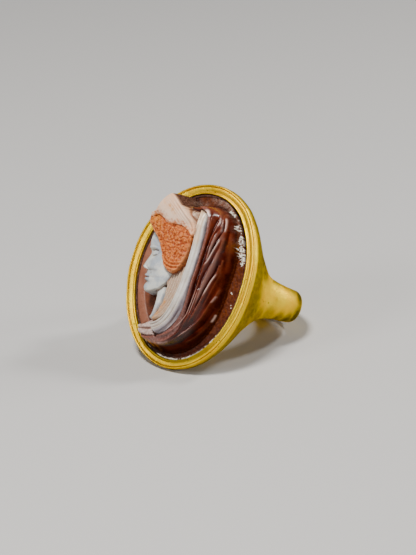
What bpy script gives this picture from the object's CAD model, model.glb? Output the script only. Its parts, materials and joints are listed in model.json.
# Cameo finger ring: the gold hoop and bezel, the carved stone and the cement round it.
# Each piece is shaped upright, in millimetres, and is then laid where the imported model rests.
import json
import math

import bmesh
import bpy
import numpy as np
from mathutils import Matrix, Vector, noise


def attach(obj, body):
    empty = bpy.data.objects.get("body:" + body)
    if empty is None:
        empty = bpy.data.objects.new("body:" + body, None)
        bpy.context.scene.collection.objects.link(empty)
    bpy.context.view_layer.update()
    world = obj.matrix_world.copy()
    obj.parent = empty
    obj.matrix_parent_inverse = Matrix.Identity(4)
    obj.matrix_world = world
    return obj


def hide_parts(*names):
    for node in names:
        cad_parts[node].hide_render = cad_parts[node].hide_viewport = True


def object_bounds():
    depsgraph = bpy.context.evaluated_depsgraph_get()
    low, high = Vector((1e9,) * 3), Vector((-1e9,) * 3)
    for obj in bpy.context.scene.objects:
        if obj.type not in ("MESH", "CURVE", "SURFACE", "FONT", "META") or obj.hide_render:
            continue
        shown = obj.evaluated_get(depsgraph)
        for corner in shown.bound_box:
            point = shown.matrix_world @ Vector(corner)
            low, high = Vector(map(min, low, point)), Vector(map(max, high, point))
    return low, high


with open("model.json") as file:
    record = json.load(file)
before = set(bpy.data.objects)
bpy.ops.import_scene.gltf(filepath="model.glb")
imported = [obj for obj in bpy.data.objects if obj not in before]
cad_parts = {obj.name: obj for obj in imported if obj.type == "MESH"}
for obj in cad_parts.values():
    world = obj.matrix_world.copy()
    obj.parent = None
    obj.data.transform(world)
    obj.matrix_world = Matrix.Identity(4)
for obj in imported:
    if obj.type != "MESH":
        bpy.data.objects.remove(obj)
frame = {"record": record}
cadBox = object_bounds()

# The finger hole gives the ring's own axes: across the finger, along it, and up to the front.
hole = frame["record"]["mounts"][0]
mm = 0.001
across = Vector((1, 0, 0))
along = Vector(hole["axis"]).normalized()
forward = across.cross(along)
turned = Matrix((across, along, forward)).transposed().to_4x4()
restMatrix = Matrix.Translation(Vector(hole["pos_m"])) @ turned @ Matrix.Scale(mm, 4)


# camera, floor and light

view = {
    "azimuth": 36.4,     # degrees round the ring
    "elevation": 23.4,
    "distance": 0.300,
    "lens": 139.3,
    "aimRight": -0.00136,    # from the middle of the ring
    "aimUp": -0.00211,
    "floorSize": 6.0,
    "floorColour": (0.44, 0.435, 0.43, 1),
    "skyColour": (0.80, 0.82, 0.86, 1),
    "skyStrength": 0.05,
}

lights = [
    # name, azimuth, elevation, distance, size, watts, colour
    ("keyLight", 8, 64, 0.42, 0.09, 2.8, (1.0, 0.97, 0.93)),
    ("sideLight", 140, 46, 0.45, 0.07, 1.2, (1.0, 0.98, 0.95)),
    ("frontLight", -14, 29, 0.60, 0.16, 1.3, (1.0, 1.0, 1.0)),
    ("backLight", 134, 14, 0.45, 0.12, 1.0, (1.0, 1.0, 0.98)),
]


def eyeAxes(azimuth, elevation):
    a = math.radians(azimuth)
    e = math.radians(elevation)
    right = Vector((math.cos(a), math.sin(a), 0))
    up = Vector((-math.sin(a) * math.sin(e), math.cos(a) * math.sin(e), math.cos(e)))
    back = Vector((math.sin(a) * math.cos(e), -math.cos(a) * math.cos(e), math.sin(e)))
    return right, up, back


def aimed(right, up, back, place):
    turn = Matrix((right, up, back)).transposed().to_4x4()
    return Matrix.Translation(place) @ turn


middle = (Vector(cadBox[0]) + Vector(cadBox[1])) / 2
right, up, back = eyeAxes(view["azimuth"], view["elevation"])
aim = middle + right * view["aimRight"] + up * view["aimUp"]
cameraData = bpy.data.cameras.new("photoCamera")
cameraData.sensor_width = 36
cameraData.lens = view["lens"]
cameraData.clip_start = 0.01
cameraData.clip_end = 20
camera = bpy.data.objects.new("photoCamera", cameraData)
camera.matrix_world = aimed(right, up, back, aim + back * view["distance"])
bpy.context.collection.objects.link(camera)
bpy.context.scene.camera = camera

for name, azimuth, elevation, distance, size, watts, colour in lights:
    right, up, back = eyeAxes(azimuth, elevation)
    lampData = bpy.data.lights.new(name, "AREA")
    lampData.shape = "DISK"
    lampData.size = size
    lampData.energy = watts
    lampData.color = colour
    lamp = bpy.data.objects.new(name, lampData)
    lamp.matrix_world = aimed(right, up, back, middle + back * distance)
    bpy.context.collection.objects.link(lamp)

world = bpy.data.worlds.new("softSky")
world.use_nodes = True
world.node_tree.nodes["Background"].inputs["Color"].default_value = view["skyColour"]
world.node_tree.nodes["Background"].inputs["Strength"].default_value = view["skyStrength"]
bpy.context.scene.world = world
print("camera and light are set")


# small helpers for nodes, meshes and shapes

def feed(tree, made, values):
    # sets or links a node's inputs
    for key, value in values.items():
        if isinstance(value, bpy.types.NodeSocket):
            tree.links.new(value, made.inputs[key])
        else:
            made.inputs[key].default_value = value


def put(tree, kind, values=None, output=0, **settings):
    # adds a node, and hands back one of its outputs
    made = tree.nodes.new("ShaderNode" + kind)
    for key, value in settings.items():
        setattr(made, key, value)
    feed(tree, made, values or {})
    return made.outputs[output]


def blendColour(tree, amount, first, second, way="MIX"):
    return put(tree, "Mix", {0: amount, 6: first, 7: second}, 2, data_type="RGBA", blend_type=way)


def sums(tree, operation, first, second=0.5, third=0.5):
    return put(tree, "Math", {0: first, 1: second, 2: third}, operation=operation)


def times(tree, first, second):
    return sums(tree, "MULTIPLY", first, second)


def plus(tree, value, strength, onto):
    return sums(tree, "MULTIPLY_ADD", value, strength, onto)


def spread(tree, value, low, high, toLow=0.0, toHigh=1.0):
    # a smooth step from low to high
    return put(tree, "MapRange", {"Value": value, "From Min": low, "From Max": high, "To Min": toLow,
                                  "To Max": toHigh}, interpolation_type="SMOOTHSTEP")


def mark(tree, name, output="Fac"):
    # a value that the mesh carries
    return put(tree, "Attribute", output=output, attribute_name=name)


def newMaterial(name):
    material = bpy.data.materials.new(name)
    material.use_nodes = True
    tree = material.node_tree
    tree.nodes.clear()
    shader = tree.nodes.new("ShaderNodeBsdfPrincipled")
    ending = tree.nodes.new("ShaderNodeOutputMaterial")
    tree.links.new(shader.outputs[0], ending.inputs[0])
    return material, tree, shader


def newGroup(name, inputs, outputs):
    group = bpy.data.node_groups.new(name, "ShaderNodeTree")
    for label, kind, value in inputs:
        socket = group.interface.new_socket(label, in_out="INPUT", socket_type=kind)
        if value is not None:
            socket.default_value = value
    for label, kind in outputs:
        group.interface.new_socket(label, in_out="OUTPUT", socket_type=kind)
    entry = group.nodes.new("NodeGroupInput")
    leaving = group.nodes.new("NodeGroupOutput")
    return group, entry.outputs, leaving.inputs


def useGroup(tree, group, values):
    made = tree.nodes.new("ShaderNodeGroup")
    made.node_tree = group
    feed(tree, made, values)
    return made.outputs


def finishPiece(name, bm, material, node):
    # keeps the upright place of each point, lays the piece down and makes it an object
    upright = bm.verts.layers.float_vector.new("upright")
    for v in bm.verts:
        v[upright] = v.co
    bmesh.ops.recalc_face_normals(bm, faces=bm.faces)
    bmesh.ops.transform(bm, matrix=restMatrix, verts=bm.verts)
    for face in bm.faces:
        face.smooth = True
    mesh = bpy.data.meshes.new(name)
    bm.to_mesh(mesh)
    bm.free()
    mesh.materials.append(material)
    piece = bpy.data.objects.new(name, mesh)
    bpy.context.collection.objects.link(piece)
    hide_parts(node)
    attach(piece, "root")
    print(name, "has", len(mesh.vertices), "points")


def ease(t):
    t = np.clip(t, 0, 1)
    return t * t * (3 - 2 * t)


def mix(a, b, t):
    return a + (b - a) * t


def hill(t):
    return np.exp(-t * t)


def curve(points, steps=7, closed=False):
    # a smooth line through hand-placed points
    p = np.array(points, float)
    if closed:
        p = np.vstack([p[-1], p, p[0], p[1]])
    else:
        p = np.vstack([2 * p[0] - p[1], p, 2 * p[-1] - p[-2]])
    t = (np.arange(steps) / steps)[:, None]
    spans = []
    for a, b, c, d in zip(p, p[1:], p[2:], p[3:]):
        spans.append(b + 0.5 * t * (c - a + t * (2 * a - 5 * b + 4 * c - d + t * (3 * (b - c) + d - a))))
    if not closed:
        spans.append(p[-2:-1])
    return np.vstack(spans)


def fromLine(x, y, line):
    # distance from a line, the share of the way along it, and the side (left is positive)
    best = np.full(x.shape, 1e9)
    share = np.zeros(x.shape)
    side = np.ones(x.shape)
    lengths = np.hypot(*np.diff(line, axis=0).T)
    total = lengths.sum()
    start = 0.0
    for (ax, ay), (bx, by), length in zip(line, line[1:], lengths):
        ux, uy = (bx - ax) / length, (by - ay) / length
        t = np.clip((x - ax) * ux + (y - ay) * uy, 0, length)
        dx, dy = x - ax - t * ux, y - ay - t * uy
        d = np.hypot(dx, dy)
        near = d < best
        best = np.where(near, d, best)
        share = np.where(near, (start + t) / total, share)
        side = np.where(near, np.where(ux * dy - uy * dx > 0, 1, -1), side)
        start += length
    return best, share, side


def inside(x, y, points, steps=7):
    # distance from a smooth closed outline, positive within it
    line = curve(points, steps, closed=True)
    loop = np.vstack([line, line[:1]])
    distance = fromLine(x, y, loop)[0]
    odd = np.zeros(x.shape, bool)
    for (ax, ay), (bx, by) in zip(loop, loop[1:]):
        if ay != by:
            crosses = (ay > y) != (by > y)
            odd ^= crosses & (x < ax + (y - ay) * (bx - ax) / (by - ay))
    return np.where(odd, distance, -distance)


def raised(within, base, top, run, power=2.2):
    # a form that stands on base and rounds over to top
    t = np.clip(within / run, 0, 1)
    return np.where(within > 0, base + (top - base) * (1 - (1 - t) ** power), -9.0)


def texture(x, y, z, scale, seed):
    # smooth noise from -1 to 1 at each point
    return np.array([noise.noise(Vector((a * scale + seed, b * scale, c * scale)))
                     for a, b, c in zip(x, y, z)])


# Hand shaping: the front's outline is a little uneven, by the turn from its top towards +x.
handShape = {
    "turns": (0, 35, 69, 90, 111, 139, 180, 221, 249, 270, 292, 319, 338, 360),
    "shares": (0.986, 1.010, 0.990, 0.974, 0.985, 0.996, 1.004, 0.990, 0.984, 0.996, 1.000, 0.984, 0.979,
               0.986),
    "fadesBy": 7.0,      # depth below the front at which the hoop's true shape is reached
}


def handShaped(bm, front, halfWidth, halfLength):
    for v in bm.verts:
        depth = front - v.co.z
        weight = 1 - float(ease(depth / handShape["fadesBy"]))
        if weight > 0:
            turn = math.degrees(math.atan2(v.co.x / halfWidth, v.co.y / halfLength)) % 360
            share = np.interp(turn, handShape["turns"], handShape["shares"])
            v.co.x *= mix(1, share, weight)
            v.co.y *= mix(1, share, weight)


# effects that more than one material uses

def wearGroup():
    group, entry, leaving = newGroup("surfaceWear", [
        ("Place", "NodeSocketVector", None),
        ("Pit Scale", "NodeSocketFloat", 2.0),
        ("Pit Share", "NodeSocketFloat", 0.2),
        ("Grain Scale", "NodeSocketFloat", 12.0),
    ], [("Pits", "NodeSocketFloat"), ("Scratches", "NodeSocketFloat"), ("Patches", "NodeSocketFloat")])
    place = entry["Place"]
    cells = put(group, "TexVoronoi", {"Vector": place, "Scale": entry["Pit Scale"], "Randomness": 1.0})
    size = put(group, "TexNoise", {"Vector": place, "Scale": 0.9, "Detail": 2.0})
    reach = times(group, size, entry["Pit Share"])
    pits = sums(group, "SUBTRACT", 1.0, sums(group, "DIVIDE", cells, reach))
    group.links.new(sums(group, "MAXIMUM", pits, 0.0), leaving["Pits"])
    drawn = put(group, "Mapping", {"Vector": place, "Rotation": (0.3, 0.5, 0.9), "Scale": (1.0, 0.08, 1.0)})
    lines = put(group, "TexNoise", {"Vector": drawn, "Scale": entry["Grain Scale"], "Detail": 3.0,
                                    "Roughness": 0.7})
    group.links.new(spread(group, lines, 0.42, 0.70), leaving["Scratches"])
    patches = put(group, "TexNoise", {"Vector": place, "Scale": 0.55, "Detail": 4.0, "Roughness": 0.6})
    group.links.new(spread(group, patches, 0.35, 0.68), leaving["Patches"])
    return group


def crustGroup():
    group, entry, leaving = newGroup("paleCrust", [
        ("Place", "NodeSocketVector", None),
        ("Scale", "NodeSocketFloat", 3.0),
    ], [("Lumps", "NodeSocketFloat"), ("Grit", "NodeSocketFloat")])
    lumps = put(group, "TexNoise", {"Vector": entry["Place"], "Scale": entry["Scale"], "Detail": 5.0,
                                    "Roughness": 0.7})
    group.links.new(spread(group, lumps, 0.38, 0.62), leaving["Lumps"])
    finer = times(group, entry["Scale"], 5.0)
    grit = put(group, "TexNoise", {"Vector": entry["Place"], "Scale": finer, "Detail": 3.0})
    group.links.new(grit, leaving["Grit"])
    return group


surfaceWear = wearGroup()
paleCrust = crustGroup()
print("shared effects are built")


# gold ring: hoop, shoulders and bezel in one

gold = {
    "halfLength": 13.1,      # the bezel, along the finger
    "halfWidth": 10.25,      # the bezel, across the finger
    "front": 11.8,           # height of the bezel's front above the hole's centre
    "fingerRadius": hole["dims"]["r_mm"],
    "hoopRadius": 10.1,
    "hoopHalfWidth": 2.2,
    "backHalfWidth": 2.4,
    "hoopRound": 1.6,
    "innerTaper": 0.14,
    "wallHeight": 1.0,
    "bowlDepth": 4.0,
    "bowlTurn": 3.8,
    "bowlClose": 8.3,
    "bowlFlank": 2.2,
    "shoulderMix": 4,
    "topColumns": 220,
    "sideColumns": 240,
    "holeRows": 7,
    "edgeRows": 5,
    "faceRows": 46,
    "softEdge": 0.42,        # how far the edge of the hole is worn round
    "seatDepth": 2.4,
    "wobble": 0.05,          # hand-made unevenness, and how finely it is made
    "wobbleScale": 0.33,
    "ripple": 0.014,
    "rippleScale": 1.5,
    "stripAmount": 0.9,      # dark strip below the bead, on the ring's right
    "stripFrom": 0.55,       # how far below the front it starts, and where it ends
    "stripTo": 4.4,
    "stainAmount": 0.72,     # stain on the inner half of the rim at its foot
    "stainFrom": 0.55,
}

# the rim from its outer edge to the seat: in from the edge, and down from the front
rimShape = [
    (0.03, 0.80), (0.01, 0.60), (0.00, 0.42), (0.00, 0.28), (0.02, 0.15), (0.06, 0.05), (0.12, 0.00),
    (0.19, 0.00), (0.25, 0.04), (0.29, 0.11), (0.32, 0.20), (0.345, 0.23), (0.37, 0.18), (0.41, 0.11),
    (0.48, 0.08), (0.58, 0.08), (0.70, 0.10), (0.82, 0.13), (0.92, 0.15), (1.00, 0.18), (1.06, 0.20),
    (1.11, 0.18), (1.17, 0.12), (1.24, 0.07), (1.31, 0.03), (1.38, 0.02), (1.44, 0.06), (1.48, 0.15),
    (1.50, 0.35), (1.52, 0.7),
]

# dark olive tarnish: place in the upright ring, radius and amount
tarnish = [
    (8.0, 7.8, 9.7, 1.6, 0.80), (8.3, 6.3, 9.0, 2.0, 1.00), (8.9, 4.9, 8.6, 2.0, 1.05),
    (9.0, 3.6, 7.6, 1.8, 0.95), (9.7, 1.0, 9.2, 1.6, 0.80), (9.7, -0.4, 9.0, 1.8, 0.90),
    (9.5, -2.2, 8.6, 2.2, 0.95), (9.1, -4.4, 8.9, 2.2, 0.90), (8.9, -3.0, 6.3, 2.0, 0.85),
    (7.6, -7.2, 9.2, 2.4, 0.75), (9.1, -2.2, 3.6, 1.5, 0.70), (5.6, -9.8, 9.8, 2.2, 0.65),
    (9.5, 1.9, -3.1, 1.9, 1.20), (9.6, -1.2, -3.2, 2.1, 1.25), (9.4, -2.2, -0.8, 1.5, 1.10),
    (9.4, -2.2, 1.4, 1.3, 0.90), (9.1, 2.2, -0.8, 1.0, 0.60), (9.0, 2.4, 3.6, 1.0, 0.60),
    (6.4, 9.3, 10.2, 2.0, 0.50), (-9.2, 4.2, 9.0, 2.4, 0.60), (-9.0, -4.0, 8.0, 2.6, 0.70),
    (-6.0, -9.4, 9.4, 2.6, 0.60), (-9.4, -1.6, -1.5, 2.2, 0.60), (-5.0, 1.8, -8.6, 2.2, 0.50),
    (2.5, -1.8, -9.7, 2.4, 0.60), (-2.0, 11.0, 9.8, 2.4, 0.45), (1.0, -11.6, 9.8, 2.8, 0.50),
    (-1.6, -12.4, 11.7, 3.6, 0.45), (-5.6, -10.6, 11.7, 3.2, 0.36), (2.4, -12.2, 11.7, 2.6, 0.30),
    (-9.5, -3.5, 11.7, 5.0, 0.20),
]


def bodyLength(depth):
    toBack = ease((depth - gold["front"]) / gold["hoopRadius"])
    hoop = mix(gold["hoopHalfWidth"], gold["backHalfWidth"], toBack)
    drawn = np.maximum(0, depth - gold["wallHeight"] * 0.3) / gold["bowlDepth"]
    return hoop + (gold["halfLength"] - hoop) / (1 + drawn ** gold["bowlTurn"])


def bodyWidth(depth):
    z = gold["front"] - depth
    disc = np.sqrt(np.maximum(0, gold["hoopRadius"] ** 2 - z * z))
    shut = np.clip(depth / gold["bowlClose"], 0, 1)
    bowl = gold["halfWidth"] * np.sqrt(np.maximum(0, 1 - shut ** gold["bowlFlank"]))
    power = gold["shoulderMix"]
    return np.where(z < 0, disc, (bowl ** power + disc ** power) ** (1 / power))


def hoopSection(inward):
    rounded = np.sqrt(np.maximum(0, 1 - np.clip(1 - inward / gold["hoopRound"], 0, 1) ** 2))
    flatPart = gold["hoopRadius"] - gold["fingerRadius"] - gold["hoopRound"]
    beyond = np.clip((inward - gold["hoopRound"]) / flatPart, 0, 1)
    return np.where(inward < gold["hoopRound"], rounded, 1 - gold["innerTaper"] * beyond ** 2)


def bodyHeight(x, z):
    # how far the gold's side stands from the middle plane
    depth = gold["front"] - z
    halfWide = bodyWidth(depth)
    cosine = np.clip(x / halfWide, -1, 1)
    inward = np.where(z < 0, gold["hoopRadius"] - np.hypot(x, z), halfWide - np.abs(x))
    oval = 1 / (1 + (depth / 5) ** 6)
    return bodyLength(depth) * mix(hoopSection(np.maximum(inward, 0)), np.sqrt(1 - cosine ** 2), oval)


def sideColumns():
    # each column of points on one side, from the middle of the hole's wall out to the outline
    topZ = gold["front"] - gold["wallHeight"]
    topX = float(bodyWidth(np.array(gold["wallHeight"])))
    turns = np.radians(180 * np.arange(gold["topColumns"] + 1) / gold["topColumns"])
    corner = math.atan2(topZ, topX)
    outer = [(topX * math.cos(t), topZ) for t in turns]
    angles = list(corner + (math.pi - 2 * corner) * turns / math.pi)
    downZ = np.linspace(topZ, 0, 300)
    downX = bodyWidth(gold["front"] - downZ)
    back = np.linspace(math.pi, 2 * math.pi, 500)[1:-1]
    x = np.concatenate([-downX, gold["hoopRadius"] * np.cos(back), downX[::-1]])
    z = np.concatenate([downZ, gold["hoopRadius"] * np.sin(back), downZ[::-1]])
    run = np.concatenate([[0], np.cumsum(np.hypot(np.diff(x), np.diff(z)))])
    stops = np.linspace(0, run[-1], gold["sideColumns"] + 1)[1:-1]
    for px, pz in zip(np.interp(stops, run, x), np.interp(stops, run, z)):
        outer.append((px, pz))
        angles.append(math.atan2(pz, px) % (2 * math.pi))
    columns = []
    outward = 1 - (1 - np.linspace(0, 1, 500)) ** 2.4
    for number, ((ox, oz), angle) in enumerate(zip(outer, angles)):
        bx, bz = gold["fingerRadius"] * math.cos(angle), gold["fingerRadius"] * math.sin(angle)
        x, z = mix(bx, ox, outward), mix(bz, oz, outward)
        y = bodyHeight(x, z)
        onTop = number < len(turns)
        y[-1] = bodyLength(np.array(gold["wallHeight"])) * math.sin(turns[number]) if onTop else 0
        face = np.column_stack([x, y, z])
        run = np.concatenate([[0], np.cumsum(np.linalg.norm(np.diff(face, axis=0), axis=1))])
        soft = min(gold["softEdge"], y[0] * 0.4, run[-1] * 0.2)

        def onFace(stops):
            return np.column_stack([np.interp(stops, run, face[:, k]) for k in range(3)])

        wallY = np.linspace(0, y[0] - soft, gold["holeRows"] + 1)
        wall = np.column_stack([np.full(len(wallY), bx), wallY, np.full(len(wallY), bz)])
        t = np.linspace(0, 1, gold["edgeRows"] + 1)[1:, None]
        edge = (1 - t) ** 2 * wall[-1] + 2 * t * (1 - t) * face[0] + t * t * onFace([soft])
        beyond = onFace(np.linspace(soft, run[-1], gold["faceRows"] + 1)[1:])
        columns.append(np.vstack([wall, edge, beyond]))
    return np.array(columns)


def extrudeRow(bm, edges):
    # pulls a row of edges out: hands back the new edges, and each new point with its source
    made = bmesh.ops.extrude_edge_only(bm, edges=edges)["geom"]
    points = [g for g in made if isinstance(g, bmesh.types.BMVert)]
    new = set(points)
    pairs = []
    for v in points:
        for e in v.link_edges:
            if e.other_vert(v) not in new:
                pairs.append((v, e.other_vert(v)))
    return [g for g in made if isinstance(g, bmesh.types.BMEdge)], pairs


def rimShare(turn):
    # the rim is narrower at the foot, and a little at the top; the turn is from +x towards +y
    atFoot = float(ease(1 - abs((turn + 90 + 180) % 360 - 180) / 62))
    atTop = float(ease(1 - abs(turn - 90) / 50))
    return 1 - 0.20 * atFoot - 0.06 * atTop


def makeGoldRing():
    columns = sideColumns()
    bm = bmesh.new()
    hollow = bm.verts.layers.float.new("hollow")
    tarnished = bm.verts.layers.float.new("tarnished")
    start = bmesh.ops.create_circle(bm, segments=len(columns), radius=gold["fingerRadius"])["verts"]
    order = {v: number for number, v in enumerate(start)}
    for v, number in order.items():
        v.co = columns[number][0]
    edges = bm.edges[:]
    for row in range(1, columns.shape[1]):
        edges, pairs = extrudeRow(bm, edges)
        for v, source in pairs:
            order[v] = order[source]
            v.co = columns[order[v]][row]
    bmesh.ops.mirror(bm, geom=bm.verts[:] + bm.edges[:] + bm.faces[:], matrix=Matrix(), merge_dist=1e-4,
                     axis="Y")
    bmesh.ops.remove_doubles(bm, verts=bm.verts, dist=1e-4)
    # the wall, the rim and the seat go up and in from the open oval
    edges = [e for e in bm.edges if e.is_boundary]
    rows = rimShape + [(1.53, 1.5), (1.55, gold["seatDepth"]), (3.0, gold["seatDepth"]),
                       (6.0, gold["seatDepth"])]
    angle = {v: math.atan2(v.co.y / gold["halfLength"], v.co.x / gold["halfWidth"])
             for e in edges for v in e.verts}
    for inset, drop in rows:
        edges, pairs = extrudeRow(bm, edges)
        for v, source in pairs:
            a = angle[v] = angle[source]
            reach = inset * rimShare(math.degrees(a)) if inset < 2 else inset
            v.co = ((gold["halfWidth"] - reach) * math.cos(a), (gold["halfLength"] - reach) * math.sin(a),
                    gold["front"] - drop)
            outerGroove = math.exp(-((inset - 0.345) / 0.05) ** 2)
            innerGroove = 0.40 * math.exp(-((inset - 1.06) / 0.08) ** 2)
            behindRim = float(ease((inset - 1.44) / 0.10))
            onRim = drop < 0.5 or inset > 1
            v[hollow] = max(min(1.0, outerGroove + innerGroove), behindRim) if onRim else 0.0
    bmesh.ops.contextual_create(bm, geom=edges)
    bmesh.ops.recalc_face_normals(bm, faces=bm.faces)
    bm.normal_update()
    for v in bm.verts:
        p, n = v.co, v.normal
        v[tarnished] = max(amount * math.exp(-((p - Vector((x, y, z))).length / radius) ** 3)
                           for x, y, z, radius, amount in tarnish)
        depth = gold["front"] - p.z
        strip = gold["stripAmount"] * ease((depth - gold["stripFrom"]) / 0.35)
        strip *= ease((gold["stripTo"] - depth) / 1.6) * ease((p.x - 1) / 4)
        inward = gold["halfLength"] * (1 - math.hypot(p.x / gold["halfWidth"], p.y / gold["halfLength"]))
        stain = gold["stainAmount"] * ease((inward - gold["stainFrom"]) / 0.35)
        stain = stain * ease((-6 - p.y) / 4) * (depth < 0.5)
        v[tarnished] = max(v[tarnished], float(strip), float(stain))
        reach = float(ease((math.hypot(p.x, p.z) - gold["fingerRadius"] - 0.1) / 0.6))
        push = gold["wobble"] * noise.noise(p * gold["wobbleScale"] + Vector((3, 1, 7)))
        push += gold["ripple"] * noise.noise(p * gold["rippleScale"] + Vector((9, 4, 2)))
        v.co = p + n * push * reach
    handShaped(bm, gold["front"], gold["halfWidth"], gold["halfLength"])
    return bm


goldTones = {
    "warm": ((0.90, 0.54, 0.006, 1), (0.94, 0.66, 0.016, 1)),
    "stain": (0.62, 0.36, 0.020, 1),
    "olive": (0.060, 0.045, 0.003, 1),
    "pit": (0.07, 0.045, 0.004, 1),
    "grime": (0.16, 0.085, 0.010, 1),
    "tint": (1.0, 0.84, 0.35, 1),
}


def goldMaterial():
    material, tree, shader = newMaterial("oldGold")
    place = mark(tree, "upright", "Vector")
    hollow = mark(tree, "hollow")
    wear = useGroup(tree, surfaceWear, {"Place": place, "Pit Scale": 1.7, "Pit Share": 0.40,
                                        "Grain Scale": 9.0})
    cloud = put(tree, "TexNoise", {"Vector": place, "Scale": 0.45, "Detail": 3.0})
    fine = put(tree, "TexNoise", {"Vector": place, "Scale": 5.0, "Detail": 4.0, "Roughness": 0.7})
    mottled = put(tree, "TexNoise", {"Vector": place, "Scale": 1.5, "Detail": 5.0, "Roughness": 0.65})
    warm = blendColour(tree, spread(tree, cloud, 0.35, 0.65), *goldTones["warm"])
    stained = blendColour(tree, times(tree, wear["Patches"], 0.25), warm, goldTones["stain"])
    # olive tarnish, broken up and stronger round the pits
    dark = times(tree, mark(tree, "tarnished"), spread(tree, mottled, 0.25, 0.65, 0.78, 1.0))
    olive = blendColour(tree, times(tree, dark, 0.95), stained, goldTones["olive"])
    clusters = put(tree, "TexNoise", {"Vector": place, "Scale": 0.38, "Detail": 1.0})
    pitShade = times(tree, spread(tree, clusters, 0.50, 0.66), 1.8)
    pitted = blendColour(tree, times(tree, wear["Pits"], pitShade), olive, goldTones["pit"])
    grime = times(tree, hollow, spread(tree, fine, 0.25, 0.6, 0.30, 0.75))
    dirty = blendColour(tree, grime, pitted, goldTones["grime"])
    tree.links.new(dirty, shader.inputs["Base Color"])
    rough = plus(tree, wear["Patches"], 0.08, spread(tree, fine, 0.3, 0.7, 0.36, 0.46))
    rough = plus(tree, dark, 0.12, rough)
    tree.links.new(plus(tree, hollow, 0.2, rough), shader.inputs["Roughness"])
    shader.inputs["Metallic"].default_value = 1.0
    shader.inputs["Specular Tint"].default_value = goldTones["tint"]
    height = times(tree, wear["Pits"], -1.2)
    height = plus(tree, wear["Scratches"], -0.16, height)
    height = plus(tree, fine, 0.6, height)
    height = plus(tree, mottled, 0.8, height)
    bumps = put(tree, "Bump", {"Height": height, "Strength": 0.6, "Distance": 0.00006})
    tree.links.new(bumps, shader.inputs["Normal"])
    return material


finishPiece("goldRing", makeGoldRing(), goldMaterial(), "gold_ring")


# cameo: the stone, its pale layers carved into the head and its dark ones into the veil

cameo = {
    "halfWidth": 8.45,
    "halfLength": 11.3,
    "front": 11.8,           # the plane of the rim
    "acrossCells": 270,
    "alongCells": 340,
    "ground": -0.40,         # heights from the rim's plane
    "edge": -0.50,
    "side": -0.85,
    "base": -1.95,
    "baseTaper": 0.6,
    "edgeRun": 0.3,          # how far in from its edge the carving falls away
    "topReach": 0.42,        # how much further than the plain oval it reaches
    "leftReach": 0.26,
    "footReach": 0.35,
}

# outlines in millimetres across and up the stone, each at its own height
outlines = {
    "diadem": [(-6.1, 6.0), (-6.12, 6.65), (-5.95, 7.15), (-5.6, 7.35), (-5.3, 7.75), (-4.85, 8.6),
               (-4.3, 9.4), (-3.7, 10.0), (-3.15, 10.3), (-2.6, 10.15), (-1.8, 9.65), (-0.9, 9.0),
               (0.1, 8.2), (0.95, 7.45), (1.55, 6.7), (1.8, 5.9), (1.6, 5.0), (1.1, 4.9), (0.4, 5.5),
               (-0.6, 5.95), (-1.9, 5.9), (-3.0, 5.8), (-3.9, 6.3), (-4.7, 6.6), (-5.4, 6.1)],
    "hair": [(-6.35, 6.2), (-6.2, 5.4), (-5.45, 4.55), (-4.25, 3.5), (-3.2, 2.0), (-2.4, 0.5),
             (-1.45, -0.4), (-0.4, -0.55), (0.55, 0.1), (1.15, 1.3), (1.4, 2.6), (1.5, 3.9), (1.5, 5.2),
             (0.4, 6.2), (-1.5, 6.6), (-3.2, 6.9), (-4.8, 7.2), (-5.9, 6.9)],
    "front": [(-2.0, 9.6), (-1.0, 9.35), (0.0, 9.2), (0.9, 9.15), (1.5, 8.6), (1.9, 6.0), (1.9, 3.0),
              (1.7, 0.0), (0.9, 1.5), (0.9, 3.5), (0.0, 5.0), (-1.2, 7.0), (-2.2, 8.6)],
    "inner": [(-2.3, 0.6), (-1.9, -1.2), (-1.55, -2.6), (-1.5, -4.4), (-1.9, -5.8), (-2.5, -7.0),
              (-1.9, -7.6), (-0.2, -6.4), (1.2, -4.0), (1.7, -1.0), (1.7, 1.0), (0.4, 1.2), (-1.0, 1.0)],
    "neck": [(-3.5, -2.6), (-3.25, -4.2), (-3.2, -5.4), (-3.35, -6.3), (-3.7, -7.2), (-2.8, -7.6),
             (-1.9, -6.9), (-1.2, -5.0), (-1.1, -2.5), (-2.2, -1.8)],
    "band": [(0.75, 8.9), (1.05, 6.6), (1.25, 4.2), (1.3, 1.6), (1.2, -0.9), (0.85, -3.4), (0.1, -5.3),
             (-1.0, -6.8), (-2.15, -7.55), (-2.0, -8.25), (-1.1, -8.95), (0.1, -8.75), (1.5, -7.6),
             (2.5, -6.0), (3.0, -4.2), (3.2, -1.5), (3.3, 1.0), (3.25, 4.0), (2.95, 6.6), (2.4, 8.4),
             (1.7, 9.2)],
    "veil": [(-2.3, 9.0), (-0.5, 9.5), (0.8, 9.7), (1.8, 9.9), (3.0, 9.8), (4.1, 9.2), (5.1, 8.0),
             (5.95, 6.4), (6.5, 4.6), (6.75, 2.0), (6.7, -0.6), (6.55, -3.0), (6.1, -5.3), (5.1, -7.7),
             (3.3, -9.6), (0.9, -10.6), (-2.0, -10.65), (-4.2, -10.3), (-5.0, -9.85), (-4.3, -9.4),
             (-3.0, -9.3), (-1.6, -8.8), (-0.4, -7.4), (0.7, -5.2), (1.3, -2.0), (1.4, 2.0), (1.2, 5.0),
             (0.6, 7.6), (-0.8, 8.5)],
    "drapery": [(-4.95, -8.3), (-4.95, -9.1), (-4.3, -9.7), (-3.0, -9.75), (-1.7, -9.5), (-0.5, -9.2),
                (-0.9, -8.75), (-1.8, -8.4), (-2.2, -7.6), (-2.4, -7.0), (-3.1, -7.35), (-4.1, -8.0)],
}

# heights of the forms above the rim's plane
levels = {
    "crown": 3.9,
    "crownFoot": 2.1,
    "inner": 2.75,
    "neck": 2.15,
    "cream": 3.85,
    "band": 3.98,
    "hair": 4.00,
    "diadem": 4.72,
    "diademAtHair": 4.42,
    "drapery": 1.95,
    "brokenEdge": -1.25,
}

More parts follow.
